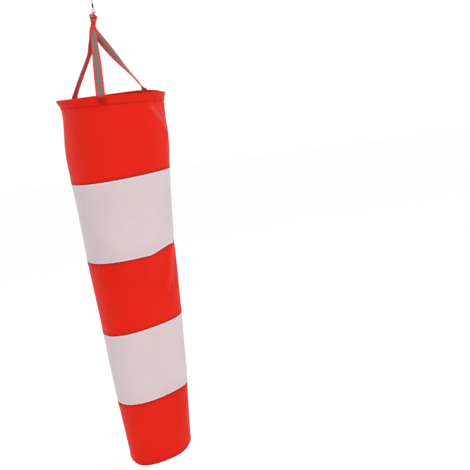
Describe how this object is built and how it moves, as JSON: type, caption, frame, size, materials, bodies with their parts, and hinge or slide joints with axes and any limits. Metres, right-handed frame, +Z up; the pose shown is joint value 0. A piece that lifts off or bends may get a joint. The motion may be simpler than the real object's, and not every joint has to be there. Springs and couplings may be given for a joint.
{
  "type": "windsock",
  "caption": "Tapered cloth wind sock in red and white stripes, hooped mouth, held by sewn webbing straps from a small barrel swivel.",
  "frame": {"origin": "middle of the hole of the swivel's upper eye, where the sock is hung up", "axes": "+Z up along the hanging sock's centre line; -Y is the front, where the strap with the strip in sight is; +X to its right"},
  "size_m": [0.296, 0.296, 1.285],
  "materials": {
    "swivel_steel": "dark satin",
    "hoop_steel": "drawn spring wire",
    "ferrule_aluminium": "crimped satin tube",
    "red_webbing": "woven polyester webbing",
    "reflective_tape": "grey-brown retroreflective strip",
    "red_cloth": "thin coated ripstop, satin",
    "white_cloth": "thin coated ripstop, slightly see-through",
    "red_thread": "polyester sewing thread",
    "white_thread": "polyester sewing thread"
  },
  "bodies": {
    "upper_eye": {"swivel_upper_eye": "swivel_steel"},
    "barrel": {"swivel_barrel": "swivel_steel"},
    "lower_eye": {"swivel_lower_eye": "swivel_steel"},
    "mouth": {"hang_loop": "red_webbing", "apex_stitch_front": "red_thread", "apex_stitch_back": "red_thread", "strap_front": "red_webbing", "strap_left": "red_webbing", "strap_right": "red_webbing", "tape_front": "reflective_tape", "tape_left": "reflective_tape", "tape_right": "reflective_tape", "stitch_front": "red_thread", "stitch_left": "red_thread", "stitch_right": "red_thread", "mouth_hem": "red_cloth", "hem_thread": "red_thread", "hoop": "hoop_steel", "hoop_ferrule": "ferrule_aluminium", "band_1_red": "red_cloth", "side_seam_1_thread": "red_thread", "seam_1_thread": "red_thread"},
    "stripe_2": {"band_2_white": "white_cloth", "side_seam_2_thread": "white_thread", "seam_2_thread": "red_thread"},
    "stripe_3": {"band_3_red": "red_cloth", "side_seam_3_thread": "red_thread", "seam_3_thread": "red_thread"},
    "stripe_4": {"band_4_white": "white_cloth", "side_seam_4_thread": "white_thread", "seam_4_thread": "red_thread"},
    "stripe_5": {"band_5_red": "red_cloth", "side_seam_5_thread": "red_thread", "tail_hem_thread": "red_thread"}
  },
  "joints": [
    {"name": "barrel_spin", "type": "hinge", "parent": "upper_eye", "child": "barrel", "pos_m": [0, 0, -0.0138], "axis": [0, 0, 1], "continuous": true},
    {"name": "lower_eye_spin", "type": "hinge", "parent": "barrel", "child": "lower_eye", "pos_m": [0, 0, -0.0195], "axis": [0, 0, 1], "continuous": true},
    {"name": "swing", "type": "hinge", "parent": "lower_eye", "child": "mouth", "pos_m": [0, 0, -0.033], "axis": [1, 0, 0], "range_deg": [-90, 90]},
    {"name": "bend_2", "type": "hinge", "parent": "mouth", "child": "stripe_2", "pos_m": [0, 0, -0.576], "axis": [-1, 0, 0], "range_deg": [-20, 20], "deforming": ["band_2_white", "side_seam_2_thread"]},
    {"name": "bend_3", "type": "hinge", "parent": "stripe_2", "child": "stripe_3", "pos_m": [0, 0, -0.784], "axis": [-1, 0, 0], "range_deg": [-20, 20], "deforming": ["band_3_red", "side_seam_3_thread"]},
    {"name": "bend_4", "type": "hinge", "parent": "stripe_3", "child": "stripe_4", "pos_m": [0, 0, -0.992], "axis": [-1, 0, 0], "range_deg": [-20, 20], "deforming": ["band_4_white", "side_seam_4_thread"]},
    {"name": "bend_5", "type": "hinge", "parent": "stripe_4", "child": "stripe_5", "pos_m": [0, 0, -1.188], "axis": [-1, 0, 0], "range_deg": [-20, 20], "deforming": ["band_5_red", "side_seam_5_thread"]}
  ]
}
